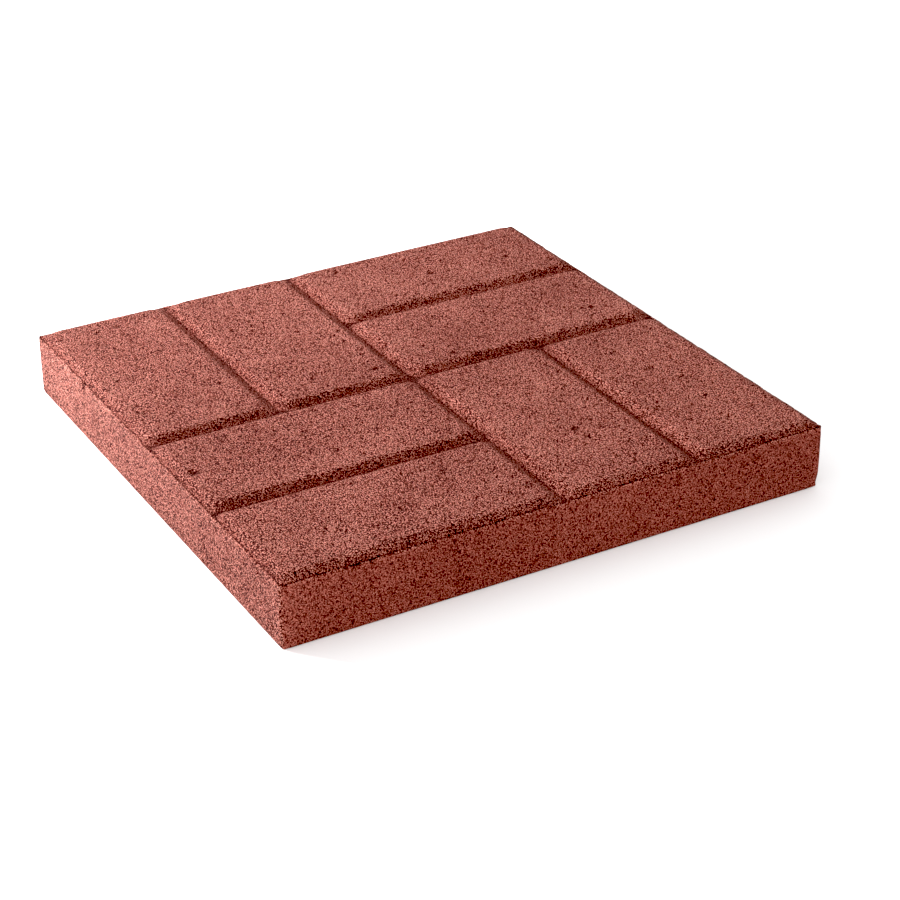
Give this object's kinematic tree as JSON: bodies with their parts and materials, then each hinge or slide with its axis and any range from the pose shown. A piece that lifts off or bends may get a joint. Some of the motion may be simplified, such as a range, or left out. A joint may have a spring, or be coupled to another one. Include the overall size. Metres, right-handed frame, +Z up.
{
  "type": "stepping stone",
  "caption": "Square cast concrete stepping stone with a raised basket-weave brick face, bevelled joints and plain sides, laid flat on the ground as a step or paver.",
  "frame": {"origin": "centre of the underside", "axes": "+Z up through the brick face, +X and +Y along the sides of the square"},
  "size_m": [0.4, 0.4, 0.0488],
  "materials": {
    "concrete": "rough cast, red-brown pigment"
  },
  "bodies": {
    "root": {"stepping_stone": "concrete"}
  },
  "joints": []
}
